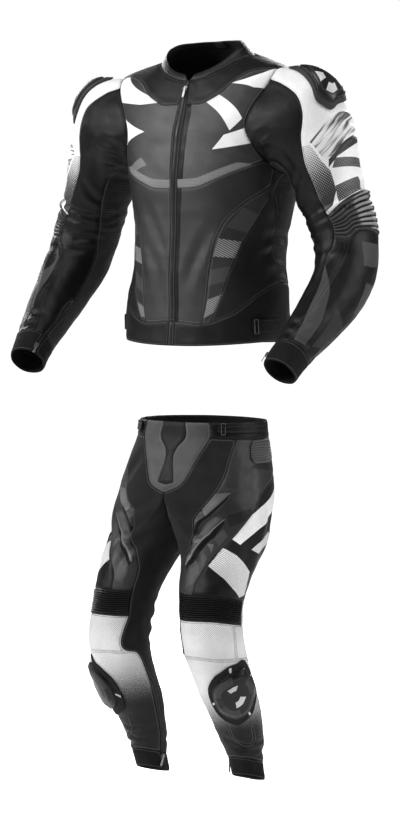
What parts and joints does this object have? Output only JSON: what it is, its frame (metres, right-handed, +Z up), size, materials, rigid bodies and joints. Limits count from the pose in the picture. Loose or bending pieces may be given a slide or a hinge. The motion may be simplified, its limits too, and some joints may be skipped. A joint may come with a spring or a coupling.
{
  "type": "motorcycle race suit",
  "caption": "Two-piece leather motorcycle race suit, jacket above trousers, filled out with no wearer, with shoulder cups, knee sliders and accordion panels.",
  "frame": {"origin": "midway between the shoulders, at shoulder height, where the wearer carries the jacket", "axes": "+Z up, -Y to the front of the suit, +X to the wearer's left"},
  "size_m": [0.8306, 0.4214, 1.591],
  "materials": {
    "black_leather": "matt grained leather",
    "grey_leather": "perforated leather",
    "white_leather": "white leather with a printed fade",
    "stretch_cloth": "ribbed stretch cloth",
    "neoprene": "matt neoprene",
    "zip_tape": "woven tape with moulded teeth",
    "cup_plastic": "moulded plastic",
    "slider_plastic": "smooth plastic puck",
    "zip_metal": "satin metal"
  },
  "bodies": {
    "suit": {"ankle_cuff_left": "neoprene", "ankle_cuff_right": "neoprene", "back": "black_leather", "belly_left": "grey_leather", "belly_right": "grey_leather", "calf_zip_left": "zip_tape", "calf_zip_right": "zip_tape", "chest_left": "grey_leather", "chest_right": "grey_leather", "collar": "stretch_cloth", "cuff_left": "neoprene", "cuff_right": "neoprene", "elbow_ribs_left": "black_leather", "elbow_ribs_right": "black_leather", "fly_left": "grey_leather", "fly_right": "grey_leather", "forearm_left": "black_leather", "forearm_right": "black_leather", "front_zip": "zip_tape", "hem_band": "black_leather", "inner_leg_left": "stretch_cloth", "inner_leg_right": "stretch_cloth", "knee_ribs_left": "black_leather", "knee_ribs_right": "black_leather", "knee_slider_left": "slider_plastic", "knee_slider_right": "slider_plastic", "outer_leg_left": "black_leather", "outer_leg_right": "black_leather", "placket": "black_leather", "seat": "black_leather", "shin_left": "white_leather", "shin_right": "white_leather", "shoulder_cup_left": "cup_plastic", "shoulder_cup_right": "cup_plastic", "side_insert_left": "grey_leather", "side_insert_right": "grey_leather", "side_panel_left": "black_leather", "side_panel_right": "black_leather", "side_stretch_left": "stretch_cloth", "side_stretch_right": "stretch_cloth", "sleeve_front_left": "black_leather", "sleeve_front_right": "black_leather", "sleeve_outer_left": "white_leather", "sleeve_outer_right": "white_leather", "sleeve_under_left": "stretch_cloth", "sleeve_under_right": "stretch_cloth", "thigh_left": "grey_leather", "thigh_right": "grey_leather", "waist_strap_left": "black_leather", "waist_strap_right": "black_leather", "waistband": "black_leather", "wrist_zip_left": "zip_tape", "wrist_zip_right": "zip_tape", "yoke": "grey_leather"},
    "front_zip_tab_body": {"front_zip_tab": "zip_metal"},
    "wrist_tab_left_body": {"wrist_tab_left": "zip_metal"},
    "wrist_tab_right_body": {"wrist_tab_right": "zip_metal"},
    "calf_tab_left_body": {"calf_tab_left": "zip_metal"},
    "calf_tab_right_body": {"calf_tab_right": "zip_metal"}
  },
  "joints": [
    {"name": "front_zip_tab_swing", "type": "hinge", "parent": "suit", "child": "front_zip_tab_body", "pos_m": [0, -0.09001, -0.03734], "axis": [-1, 0, 0], "range_deg": [0, 150]},
    {"name": "wrist_tab_left_swing", "type": "hinge", "parent": "suit", "child": "wrist_tab_left_body", "pos_m": [0.29882, -0.21979, -0.59006], "axis": [-0.6654, 0.5833, -0.4659], "range_deg": [0, 150]},
    {"name": "wrist_tab_right_swing", "type": "hinge", "parent": "suit", "child": "wrist_tab_right_body", "pos_m": [-0.29882, -0.21979, -0.59006], "axis": [-0.6654, -0.5833, 0.4659], "range_deg": [0, 150]},
    {"name": "calf_tab_left_swing", "type": "hinge", "parent": "suit", "child": "calf_tab_left_body", "pos_m": [0.08728, -0.04763, -1.48615], "axis": [-0.1046, 0.9648, -0.2412], "range_deg": [0, 150]},
    {"name": "calf_tab_right_swing", "type": "hinge", "parent": "suit", "child": "calf_tab_right_body", "pos_m": [-0.08728, -0.04763, -1.48615], "axis": [-0.1046, -0.9648, 0.2412], "range_deg": [0, 150]}
  ]
}
